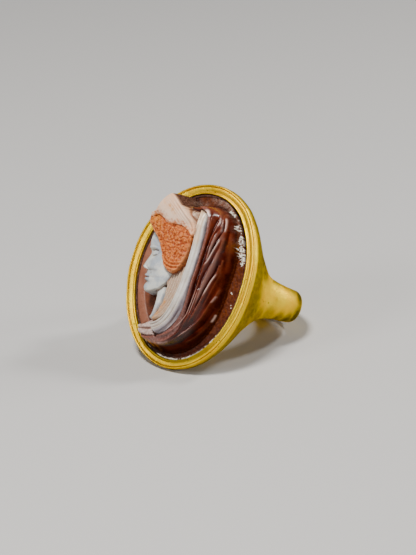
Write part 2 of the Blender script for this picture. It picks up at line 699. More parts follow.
# lines at which the veil starts, beside the band, and at which it meets the ground
veilStart = [(1.0, 9.3), (2.5, 8.6), (3.1, 6.6), (3.25, 4.0), (3.3, 1.0), (3.15, -2.0), (2.9, -4.4),
             (2.3, -6.2), (1.2, -7.8), (-0.3, -8.9), (-2.2, -9.3), (-4.4, -9.5)]
veilHem = [(1.6, 10.2), (3.8, 9.5), (4.95, 8.1), (5.8, 6.4), (6.4, 4.6), (6.6, 2.0), (6.55, -0.6),
           (6.4, -3.0), (5.95, -5.3), (5.0, -7.6), (3.2, -9.5), (0.8, -10.5), (-2.0, -10.55),
           (-4.6, -10.2)]

# ridges and hollows of the veil, from the crown down to the hem: points, height and half width
ridges = [
    ([(3.0, 9.1), (3.35, 8.0), (3.55, 6.0), (3.6, 4.0), (3.55, 1.5), (3.4, -1.0), (3.2, -3.2), (2.85, -5.0),
      (2.1, -6.7), (0.9, -8.1), (-0.6, -8.95), (-2.6, -9.35)], 0.22, 0.17),
    ([(3.65, 9.2), (4.1, 8.3), (4.22, 7.0), (4.12, 5.0), (4.05, 3.2)], 0.26, 0.14),
    ([(3.95, 9.4), (4.5, 8.6), (4.66, 7.2), (4.52, 5.6), (4.45, 3.8), (4.42, 2.0), (4.38, 0.3), (4.3, -1.4),
      (4.05, -3.1), (3.8, -4.3), (3.45, -5.5), (2.6, -6.8), (1.5, -8.0), (0.2, -8.8), (-1.8, -9.4)], 0.34,
      0.17),
    ([(4.58, -1.4), (4.33, -3.1), (4.08, -4.4), (3.72, -5.7), (2.9, -7.0), (1.9, -8.0)], 0.20, 0.09),
    ([(4.2, 9.5), (4.75, 8.85), (5.2, 8.1), (5.38, 7.1), (5.12, 6.0), (4.98, 4.5), (4.75, 2.9), (4.5, 1.6),
      (4.42, 0.8)], 0.50, 0.17),
    ([(5.6, 6.6), (5.45, 4.5), (5.2, 1.5), (4.95, -0.5), (4.7, -2.4), (4.4, -4.0), (4.0, -5.3), (3.2, -7.0),
      (2.0, -8.5), (0.3, -9.5), (-2.2, -9.95)], 0.42, 0.27),
    ([(6.1, 2.6), (5.88, 1.3), (5.6, 0.0), (5.32, -1.4), (5.12, -2.4), (4.86, -3.6), (4.4, -5.2),
      (3.7, -6.6)], 0.46, 0.14),
    ([(6.4, 3.4), (6.2, 2.0), (6.0, 0.5), (5.75, -1.1), (5.5, -2.6), (5.1, -4.2)], 0.24, 0.15),
    ([(6.4, -0.4), (6.15, -1.8), (5.85, -2.9), (5.5, -4.2), (5.0, -5.6), (4.3, -6.7), (3.25, -7.8),
      (2.4, -8.6), (1.0, -9.5), (-0.6, -10.05), (-2.6, -10.25)], 0.34, 0.16),
    ([(6.4, -3.2), (6.2, -4.3), (5.85, -5.5), (5.3, -6.7), (4.4, -8.0), (3.0, -9.2)], 0.32, 0.15),
    ([(3.82, 8.5), (3.85, 6.0), (3.85, 3.0), (3.85, 0.0), (3.65, -3.0), (3.2, -5.4), (2.3, -7.0)], -0.32,
     0.14),
    ([(4.88, 7.6), (4.8, 6.0), (4.72, 4.4), (4.48, 2.8), (4.25, 1.6)], -0.26, 0.10),
    ([(5.75, 2.4), (5.58, 1.2), (5.32, -0.2), (5.05, -1.6), (4.85, -2.8), (4.5, -4.4)], -0.30, 0.11),
    ([(5.75, 7.2), (5.9, 5.8), (5.85, 4.0)], -0.34, 0.20),
    ([(6.1, -3.4), (5.7, -4.8), (5.1, -6.2), (4.1, -7.5), (2.6, -9.0), (0.4, -10.0)], -0.20, 0.12),
]

# worn pale lines on its crests: points, half width and how pale
wornLines = [
    ([(1.75, 8.1), (1.95, 8.7), (2.3, 8.9), (2.6, 8.65), (2.7, 8.0)], 0.15, 1.0),
    ([(4.02, 8.6), (4.16, 8.0), (4.22, 7.2)], 0.055, 0.8),
    ([(4.48, 8.5), (4.63, 7.9), (4.66, 7.3)], 0.05, 0.6),
    ([(4.75, 8.8), (5.18, 8.1), (5.38, 7.3), (5.3, 6.7)], 0.085, 0.95),
    ([(5.14, 6.2), (4.99, 4.6), (4.76, 2.9), (4.5, 1.6)], 0.045, 0.8),
    ([(5.9, 1.35), (5.6, 0.0), (5.32, -1.4), (5.12, -2.4)], 0.045, 0.85),
    ([(4.5, 6.4), (4.46, 4.2), (4.42, 2.2)], 0.12, 0.22),
    ([(5.5, 5.2), (5.3, 2.6), (5.0, -0.2), (4.7, -2.4), (4.3, -4.2)], 0.16, 0.14),
    ([(4.34, -1.0), (4.05, -3.1), (3.8, -4.3), (3.45, -5.5), (2.6, -6.8), (1.6, -7.9)], 0.045, 0.5),
    ([(4.55, -1.6), (4.33, -3.1), (4.08, -4.4), (3.72, -5.7)], 0.04, 0.4),
    ([(6.2, -1.7), (6.02, -2.4), (5.84, -2.95)], 0.05, 0.4),
    ([(6.24, -4.1), (6.08, -4.8), (5.84, -5.5)], 0.06, 0.8),
    ([(4.3, -6.7), (3.25, -7.8), (2.4, -8.6)], 0.045, 0.4),
    ([(1.4, -9.3), (0.4, -9.75), (-0.9, -10.05)], 0.13, 0.3),
]

# stains and leftovers: place, radius and amount
spots = {
    "ochre": [(-4.9, 6.3, 0.55, 0.9), (-5.5, 5.9, 0.5, 0.5), (-4.2, 5.5, 0.5, 0.5),
              (-2.9, 8.35, 0.35, 0.8), (-2.35, 8.0, 0.3, 0.8), (-1.95, 7.6, 0.25, 0.7),
              (-3.6, 8.7, 0.5, 0.35), (-0.85, -4.5, 0.30, 0.9), (-1.0, -4.8, 0.45, 0.5),
              (-1.25, -5.3, 0.5, 0.6), (-1.6, -6.1, 0.5, 0.8), (-1.9, -6.8, 0.4, 0.7),
              (-3.6, -10.3, 0.35, 0.8), (-2.5, -10.3, 0.40, 0.9), (-1.2, -10.25, 0.35, 0.5),
              (6.3, 5.4, 0.6, 0.2)],
    "crust": [(3.65, 9.75, 0.35, 1.0), (4.15, 9.4, 0.28, 0.9), (5.2, 8.05, 0.36, 1.0),
              (5.6, 7.7, 0.30, 0.9), (6.3, 6.9, 0.60, 1.1), (6.7, 6.3, 0.65, 1.1), (6.6, 5.6, 0.50, 0.9),
              (7.0, 5.2, 0.60, 1.1), (7.2, 4.6, 0.60, 1.1), (7.5, 4.1, 0.60, 1.15), (7.7, 3.5, 0.45, 1.0),
              (7.45, -0.75, 0.16, 1.2), (7.8, -2.35, 0.15, 1.0), (7.95, -2.75, 0.12, 1.0),
              (7.3, 6.1, 0.35, 0.9), (5.0, 9.0, 0.25, 0.6), (-2.1, -10.85, 0.12, 1.0),
              (-0.1, -10.75, 0.14, 1.0)],
    "residue": [(0.4, 11.0, 0.6, 0.7), (1.4, 10.85, 0.6, 0.9), (2.4, 10.6, 0.55, 1.0),
                (3.3, 10.2, 0.5, 1.0), (4.2, 9.7, 0.5, 1.0), (4.9, 9.0, 0.45, 0.7), (-1.9, 9.7, 0.6, 0.5),
                (-0.8, 9.9, 0.5, 0.4), (-3.2, 9.9, 0.5, 0.6), (5.6, 7.9, 0.6, 0.5), (6.4, 6.4, 0.6, 0.5),
                (7.3, 4.9, 0.6, 0.5)],
}

# the face: a plain classical profile of the maker's own, in shares of its length from the chin up
face = {
    "chin": (-5.0, -3.9),
    "hairline": (-6.25, 5.0),
    "edge": 1.50,            # height where the profile meets the ground
    "cheek": 3.20,
    "roundOver": 0.46,       # share of the length over which the cheek rises
    "profile": [(-0.10, -0.10), (-0.04, -0.02), (0.00, 0.028), (0.04, 0.046), (0.09, 0.046),
                (0.145, 0.024), (0.175, 0.040), (0.200, 0.050), (0.222, 0.032), (0.245, 0.056),
                (0.265, 0.054), (0.300, 0.036), (0.333, 0.040), (0.352, 0.088), (0.380, 0.118),
                (0.410, 0.112), (0.480, 0.074), (0.550, 0.038), (0.600, 0.018), (0.640, 0.022),
                (0.680, 0.042), (0.740, 0.046), (0.850, 0.038), (0.950, 0.014), (1.000, 0.000),
                (1.080, -0.010)],
    "jaw": ((-0.05, 0.03, 0.12, 0.30, 0.42, 0.60), (-0.02, -0.03, -0.015, 0.035, 0.13, 0.40)),
    "eye": (0.140, 0.600),
    "eyeHalf": (0.062, 0.034),
    # height, place up the face, half height, place behind the profile, half width
    "forms": [
        (0.20, 0.800, 0.130, 0.100, 0.120),     # temple
        (-0.42, 0.605, 0.062, 0.135, 0.100),    # socket
        (0.28, 0.372, 0.030, 0.078, 0.030),     # wing of the nose
        (-0.16, 0.376, 0.045, 0.128, 0.016),    # behind the wing
        (-0.20, 0.337, 0.010, 0.050, 0.020),    # nostril
        (0.26, 0.430, 0.100, 0.270, 0.110),     # cheek
        (-0.14, 0.150, 0.020, 0.055, 0.050),    # below the lips
        (0.22, 0.065, 0.055, 0.075, 0.060),     # chin
    ],
    # height, place up the face, half height, where it ends behind the profile, over what length
    "lips": [(0.20, 0.253, 0.018, 0.118, 0.06), (0.20, 0.195, 0.020, 0.112, 0.06),
             (-0.26, 0.223, 0.0085, 0.128, 0.05)],
}


def carveFace(x, y):
    # height of the face, and how far each point is within it
    chin, brow = np.array(face["chin"]), np.array(face["hairline"])
    long = float(np.linalg.norm(brow - chin))
    rise = (brow - chin) / long
    dx, dy = x - chin[0], y - chin[1]
    v = (dx * rise[0] + dy * rise[1]) / long
    w = (dx * rise[1] - dy * rise[0]) / long     # behind the line from chin to hairline
    shape = curve(face["profile"], 6)
    stands = np.interp(v, shape[:, 0], shape[:, 1])
    behind = w + stands
    jaw = v - np.interp(w, *face["jaw"])
    within = np.minimum(np.minimum(behind * 0.93, jaw * 0.95), np.minimum(0.60 - w, 1.12 - v)) * long
    overCheek = np.sqrt(1 - (1 - np.clip(behind / face["roundOver"], 0, 1)) ** 2)
    overJaw = np.sqrt(1 - (1 - np.clip(jaw / 0.16, 0, 1)) ** 2)
    top = face["edge"] + (face["cheek"] - face["edge"]) * overCheek * (0.62 + 0.38 * overJaw)
    for tall, up, halfUp, back, halfBack in face["forms"]:
        top += tall * hill((v - up) / halfUp) * hill((behind - back) / halfBack)
    for tall, up, halfUp, end, over in face["lips"]:
        top += tall * hill((v - up) / halfUp) * ease((end - behind) / over)
    # brow, eye and its lids, and the fold from the nose to the mouth
    arc = 0.685 - 0.9 * (behind - 0.10) ** 2
    top += 0.20 * hill((v - arc) / 0.020) * ease((behind - 0.01) / 0.04) * ease((0.27 - behind) / 0.08)
    (eyeBack, eyeUp), (halfBack, halfUp) = face["eye"], face["eyeHalf"]
    ball = np.maximum(0, 1 - ((behind - eyeBack) / halfBack) ** 2 - ((v - eyeUp) / halfUp) ** 2)
    top += 0.42 * np.sqrt(ball)
    lid = np.clip(1 - ((behind - eyeBack - 0.002) / 0.085) ** 2, 0, 1)
    top += 0.17 * hill((v - eyeUp - halfUp * lid) / 0.0095) * ease(lid / 0.4)
    top += 0.10 * hill((v - eyeUp + 0.026 * lid) / 0.0085) * ease(lid / 0.4)
    top -= 0.09 * hill((v - eyeUp - 0.048 + 0.006 * (1 - lid)) / 0.010) * ease(lid / 0.5)
    top -= 0.12 * hill((v - 0.29 + 0.30 * (behind - 0.12)) / 0.022) * hill((behind - 0.14) / 0.03)
    return top, within


def locksOf(x, y, turn, seed):
    # short uneven locks that run at a turn from the x axis
    a = math.radians(turn)
    run, side = x * math.cos(a) + y * math.sin(a), y * math.cos(a) - x * math.sin(a)
    return texture(0.45 * run, side + 0.10 * np.sin(2 * math.pi * run / 1.1), 0 * x, 2.9, seed)


def carve(x, y):
    # height of the carving above the rim's plane, and how much of each layer shows
    marks = {}
    share = np.hypot(x / cameo["halfWidth"], y / cameo["halfLength"])
    toEdge = (1 - share) * np.minimum(cameo["halfWidth"], cameo["halfLength"]) * 1.1
    slow = texture(x, y, 0 * x, 0.6, 11)
    quick = texture(x, y, 0 * x, 2.6, 23)
    quicker = texture(x, y, 0 * x, 4.6, 37)
    left = ease((-x - 2.5) / 3.0) * ease((7.0 - y) / 3)
    strip = ease((1.5 - toEdge) / 0.25) * left
    rough = ease((x - 1.0) / 3.0) + ease((y - 8.5) / 1.0)
    height = cameo["ground"] + 0.05 * slow + (0.02 + 0.03 * rough) * quick + 0.03 * rough * quicker
    height += 0.10 * strip * (toEdge - 0.6)
    marks["strip"] = strip + 0.30 * left * (1 - strip)
    marks["bare"] = 1 - strip

    def lay(name, top, within, base, run, power=2.2, soft=0.10):
        # the higher of two forms shows
        nonlocal height
        form = raised(within, base, top, run, power)
        shows = ease((form - height) / soft + 0.5) * (within > -soft)
        for other in marks:
            marks[other] = marks[other] * (1 - shows)
        marks[name] = np.maximum(marks.get(name, 0), shows)
        height = np.maximum(height, form)

    # veil: falls from the pale band to its hem, with ridges and hollows
    toBand, alongBand, side = fromLine(x, y, curve(veilStart))
    toHem = fromLine(x, y, curve(veilHem))[0]
    down = np.where(side > 0, toBand / (toBand + toHem + 1e-6), 0)
    crown = mix(levels["crown"], levels["crownFoot"], ease((alongBand - 0.42) / 0.50))
    top = crown - 0.8 * down - (crown - 1.0) * down ** 3
    # where the veil falls away near the crown its folds lie further in, so that they look straight
    spreadX = x + 0.65 * np.maximum(0, 2.6 - top) * ease((y - 1.0) / 2.5)
    for points, tall, wide in ridges:
        d, t, _ = fromLine(spreadX, y, curve(points))
        fold = 1.25 * tall * np.exp(-(d / wide) ** 1.2) * ease(t / 0.05) * ease((1 - t) / 0.15)
        top += fold * (0.9 + 0.2 * slow)
    top += 0.02 * quick * ease(down / 0.2) - 1.1 * ease(np.where(side > 0, 0, toBand) / 0.35)
    within = inside(x, y, outlines["veil"])
    lay("veil", top, within, -0.3, 0.55, 2.2)
    marks["matt"] = ease((down - 0.60) / 0.2) * marks["veil"]
    pleated = ease((mix(0.42, 1.05, ease((-4.0 - y) / 4)) - toBand) / 0.25 + 0.3 * slow)
    marks["pleat"] = pleated * marks["veil"]
    marks["worn"] = 0 * x
    for points, wide, amount in wornLines:
        d, t, _ = fromLine(spreadX, y, curve(points))
        ends = ease(t / 0.2) * ease((1 - t) / 0.25)
        marks["worn"] = np.maximum(marks["worn"], amount * ends * np.exp(-(d / wide) ** 2) * marks["veil"])

    # inside of the veil beside the neck, then the neck
    within = inside(x, y, outlines["inner"])
    toInner = fromLine(x, y, curve(outlines["band"][:9]))[0]
    stripes = np.cos(2 * math.pi * (toInner + 0.05 * quick) / 0.40)
    lay("inner", levels["inner"] + 0.25 * ease((x + 1.5) / 2.5) + 0.06 * stripes, within, 0.6, 0.5)
    within = inside(x, y, outlines["neck"])
    top = levels["neck"] + 0.25 * ease((x + 3.2) / 1.2) - 0.15 * ease((-5.5 - y) / 1.5)
    lay("pale", top, within, 0.3, 0.8)
    top, within = carveFace(x, y)
    lay("pale", top, within, 0.25, 0.28, 2.0)

    # the veil's front edge above the brow: it rises softly from the ground, with fine pleats
    within = inside(x, y, outlines["front"])
    pleats = np.cos(2 * math.pi * (0.80 * x + 0.60 * y) / 0.36)
    lay("cream", levels["cream"] + 0.05 * pleats + 0.05 * slow, within, 0.6, 1.2, 1.8, 0.5)

    # the pale band, with long grooves that open towards its foot
    within = inside(x, y, outlines["band"])
    spacing = 0.40 + 0.03 * slow
    lower = ease((-3.0 - y) / 4.5)
    grooves = 0.050 * np.cos(2 * math.pi * toInner / spacing)
    grooves = grooves + 0.025 * np.cos(2 * math.pi * toInner / 0.23 + 2 * slow)
    top = levels["band"] - 0.75 * lower + grooves * (0.5 + 1.2 * lower)
    top -= 0.16 * hill((toInner - 1.0) / 0.45)
    top -= 0.55 * ease((toInner - 1.35) / 0.7) + 0.55 * ease((y - 6.6) / 2.2)
    lay("band", top, within, 1.2, 0.42)
    marks["edge"] = ease((toInner - mix(1.25, 1.15, lower)) / 0.4) * marks["band"]
    marks["peach"] = ease((1.35 - toInner) / 0.4) * ease((y - 3.5) / 2.0) * marks["band"]

    # hair: short wavy locks in two directions, and rolls that turn under at the nape
    within = inside(x, y, outlines["hair"])
    rolls = np.cos(2 * math.pi * (np.hypot(x + 0.45, y - 3.4) + 0.06 * quick + 0.08 * slow) / 0.48)
    patch = ease(2.5 * texture(x, y, 0 * x, 1.1, 47) + 0.5)
    finest = texture(x, y, 0 * x, 6.0, 71)
    locks = mix(locksOf(x, y, 124, 61), locksOf(x, y, 50, 83), patch) + 0.35 * finest
    partings = hill(texture(x, y, 0 * x, 1.7, 131) / 0.13)
    low = ease((2.0 - y) / 1.4)
    upper = 0.15 * locks - 0.11 * partings
    pattern = mix(upper, 0.09 * rolls + 0.06 * quicker + 0.04 * finest, low)
    top = levels["hair"] + 0.22 * ease((within - 0.1) / 1.2) + 0.25 * ease((y - 3.0) / 3.0) + pattern
    lay("hair", top, within, 1.2, 0.32)
    marks["parting"] = ease((0.01 - pattern) / 0.12) * marks["hair"]

    # diadem: a tall plain plate, with a double bead and fine lines along its right edge
    within = np.minimum(inside(x, y, outlines["diadem"]), 1.4 * toEdge + 0.12)
    toRight = fromLine(x, y, curve(outlines["diadem"][9:16]))[0]
    beads = 0.08 * hill((toRight - 0.48) / 0.09) - 0.10 * hill((toRight - 0.67) / 0.07)
    lines = 0.040 * np.cos(2 * math.pi * toRight / 0.31) * ease((2.1 - toRight) / 0.7)
    lines = lines * ease((toRight - 0.7) / 0.2)
    top = levels["diadem"] + 0.62 * ease((y - 5.6) / 3.8) + (beads + lines) * ease((9.6 - y) / 1.0)
    top = top + 0.04 * slow + 0.012 * quick
    top -= 0.55 * ease((x + 0.8) / 1.8) * ease((8.2 - y) / 1.8)
    toHair = fromLine(x, y, curve(outlines["diadem"][16:]))[0]
    top = mix(top, levels["diademAtHair"], 0.92 * hill(toHair / 0.75))
    height = mix(cameo["edge"], height, ease(toEdge / cameo["edgeRun"]))
    lay("diadem", top, within, 2.0, 0.38)

    fades = ease(1.15 - toHair / 0.95 + 0.7 * quick + 0.4 * quicker) * 0.9
    marks["hair"] = np.maximum(marks["hair"], marks["diadem"])
    marks["diadem"] = marks["diadem"] * (1 - fades)

    # the pale layer ends part of the way down the walls at the top of the head
    paleEnds = 3.0 + 3.3 * ease((y - 6.9) / 2.0) + 0.35 * quick + 0.35 * slow + 0.25 * quicker
    brownFrom = ease((y - 8.25 - 0.35 * quick - 0.25 * quicker) / 0.6)
    diademWall = ease((0.36 - within) / 0.12) * ease((x + 3.7) / 0.4)
    onWall = np.maximum(marks["cream"] + marks["band"] * ease((y - 8.5) / 0.6),
                        marks["diadem"] * diademWall)
    marks["under"] = np.clip(ease((paleEnds - height) / 0.9) * brownFrom * onWall, 0, 1)
    marks["matt"] = np.maximum(marks["matt"], np.maximum(marks["under"], 0.45 * marks["hair"]))

    # folds at the shoulder, with a gap between them and the band
    within = inside(x, y, outlines["drapery"])
    toGap = fromLine(x, y, curve([(-2.25, -7.5), (-2.2, -8.1), (-1.7, -8.7), (-1.1, -9.1)]))[0]
    toFold = fromLine(x, y, curve([(-4.9, -8.95), (-3.6, -8.75), (-2.3, -8.45)]))[0]
    pleats = np.cos(2 * math.pi * (0.42 * x - 0.90 * y) / 0.62)
    top = levels["drapery"] + 0.05 * pleats - 0.30 * hill(toFold / 0.12) - 0.25 * ease((-3.9 - x) / 0.8)
    lay("drapery", top, within, 0.1, 0.5)
    gap = hill(toGap / 0.14) * ease((-6.9 - y) / 0.5)
    height = height - 0.7 * gap * (height > 0.8)
    marks["gap"] = gap

    # the edge is chipped away at the upper right, and leftovers lie on the stone
    turn = np.degrees(np.arctan2(x, y))
    bite = hill((turn - 40) / 20)
    chipped = ease((0.26 * bite - toEdge) / 0.12 + 0.5) * (bite > 0.05)
    height = mix(height, levels["brokenEdge"] + 0.08 * quick, chipped)
    marks["chipped"] = chipped
    for name, places in spots.items():
        amount = 0 * x
        for px, py, radius, strength in places:
            amount = np.maximum(amount, strength * hill(np.hypot(x - px, y - py) / radius))
        marks[name] = amount * (1 - chipped)
    marks["residue"] = marks["residue"] * ease((1.6 - height) / 0.6)
    crumbs = texture(0.6 * x, y, 0 * x, 5.4, 151)
    raisedBy = ease((marks["crust"] + 1.2 * crumbs + 0.3 * quick - 0.66) / 0.20)
    raisedBy = raisedBy * ease((marks["crust"] - 0.1) / 0.3)
    height += 0.12 * raisedBy * (1 - chipped)
    marks["crust"] = raisedBy * (1 - chipped)
    return height, marks


def makeCameo():
    bm = bmesh.new()
    bmesh.ops.create_grid(bm, x_segments=cameo["acrossCells"], y_segments=cameo["alongCells"], size=1)
    square = np.array([v.co[:2] for v in bm.verts])
    x = square[:, 0] * np.sqrt(1 - square[:, 1] ** 2 / 2) * cameo["halfWidth"]
    y = square[:, 1] * np.sqrt(1 - square[:, 0] ** 2 / 2) * cameo["halfLength"]
    height, marks = carve(x, y)
    # hollows are where the carving lies below its surroundings
    shape = (cameo["alongCells"] + 1, cameo["acrossCells"] + 1)
    table = height.reshape(shape)
    around = table.copy()
    for _ in range(14):
        around[1:-1, 1:-1] = (around[:-2, 1:-1] + around[2:, 1:-1] + around[1:-1, :-2]
                              + around[1:-1, 2:]) / 4
    marks["hollow"] = np.clip((around - table).ravel() / 0.12, 0, 1)
    marks["ridge"] = np.clip((table - around).ravel() / 0.12, 0, 1)
    # the walls keep their colour down to the ground, two points beyond their feet
    for name in ("pale", "hair", "diadem", "under", "matt"):
        grown = marks[name].reshape(shape).copy()
        for _ in range(2):
            wider = grown.copy()
            for axis in (0, 1):
                for step in (-1, 1):
                    wider = np.maximum(wider, np.roll(grown, step, axis))
            grown = np.where(table < 0.2, wider, grown)
        marks[name] = grown.ravel()
    layers = {name: bm.verts.layers.float.new(name) for name in marks}
    for number, v in enumerate(bm.verts):
        v.co = (x[number], y[number], cameo["front"] + height[number])
        for name, layer in layers.items():
            v[layer] = float(marks[name][number])
    bmesh.ops.smooth_vert(bm, verts=bm.verts, factor=0.35, use_axis_z=True)
    steep = [v for v in bm.verts if not v.is_boundary
             and max(abs(e.other_vert(v).co.z - v.co.z) for e in v.link_edges) > 0.30]
    for _ in range(3):
        bmesh.ops.smooth_vert(bm, verts=steep, factor=0.5, use_axis_x=True, use_axis_y=True,
                              use_axis_z=True)
    edges = [e for e in bm.edges if e.is_boundary]
    angle = {v: math.atan2(v.co.y / cameo["halfLength"], v.co.x / cameo["halfWidth"])
             for e in edges for v in e.verts}
    for inset, level in ((0, cameo["edge"] - 0.1), (0, cameo["side"]),
                         (0.3, mix(cameo["side"], cameo["base"], 0.5)),
                         (cameo["baseTaper"], cameo["base"]), (3.0, cameo["base"])):
        edges, pairs = extrudeRow(bm, edges)
        for v, source in pairs:
            a = angle[v] = angle[source]
            v.co = ((cameo["halfWidth"] - inset) * math.cos(a), (cameo["halfLength"] - inset) * math.sin(a),
                    cameo["front"] + level)
    bmesh.ops.contextual_create(bm, geom=edges)
    # the stone fills its setting more at the top, on the left and at the foot
    for v in bm.verts:
        turn = math.degrees(math.atan2(v.co.x, v.co.y))
        atTop = float(ease((26 - turn) / 14))
        v.co.y += cameo["topReach"] * (max(0, v.co.y) / cameo["halfLength"]) ** 6 * atTop
        v.co.x -= cameo["leftReach"] * (max(0, -v.co.x) / cameo["halfWidth"]) ** 4
        v.co.y -= cameo["footReach"] * (max(0, -v.co.y) / cameo["halfLength"]) ** 6
    handShaped(bm, cameo["front"], cameo["halfWidth"], cameo["halfLength"])
    return bm


# each layer of the stone: its two tones, which drift over it
stoneTones = {
    "ground": ((0.050, 0.008, 0.001, 1), (0.110, 0.024, 0.004, 1)),
    "strip": ((0.190, 0.070, 0.040, 1), (0.250, 0.100, 0.062, 1)),
    "veil": ((0.030, 0.0018, 0.0004, 1), (0.085, 0.0085, 0.0012, 1)),
    "pleat": ((0.130, 0.048, 0.038, 1), (0.240, 0.120, 0.105, 1)),
    "inner": ((0.40, 0.27, 0.18, 1), (0.46, 0.35, 0.26, 1)),
    "pale": ((0.32, 0.35, 0.39, 1), (0.57, 0.57, 0.52, 1)),
    "cream": ((0.50, 0.35, 0.25, 1), (0.60, 0.47, 0.37, 1)),
    "band": ((0.46, 0.41, 0.36, 1), (0.56, 0.53, 0.48, 1)),
    "peach": ((0.64, 0.42, 0.24, 1), (0.62, 0.47, 0.33, 1)),
    "edge": ((0.20, 0.17, 0.19, 1), (0.34, 0.30, 0.31, 1)),
    "hair": ((0.36, 0.070, 0.007, 1), (0.58, 0.170, 0.030, 1)),
    "diadem": ((0.74, 0.41, 0.23, 1), (0.74, 0.53, 0.39, 1)),
    "drapery": ((0.33, 0.21, 0.18, 1), (0.58, 0.46, 0.41, 1)),
    "under": ((0.035, 0.012, 0.006, 1), (0.115, 0.052, 0.034, 1)),
}

stoneStains = {
    "crest": (0.18, 0.048, 0.022, 1),
    "worn": (0.66, 0.46, 0.40, 1),
    "hollow": (0.30, 0.13, 0.07, 1),
    "parting": (0.55, 0.24, 0.08, 1),
    "curl": (0.74, 0.36, 0.16, 1),
    "foot": (0.22, 0.10, 0.08, 1),
    "ochre": (0.54, 0.20, 0.015, 1),
    "gap": (0.110, 0.030, 0.008, 1),
    "residue": (0.42, 0.31, 0.25, 1),
    "crust": (0.76, 0.72, 0.62, 1),
    "chipped": (0.020, 0.006, 0.004, 1),
}


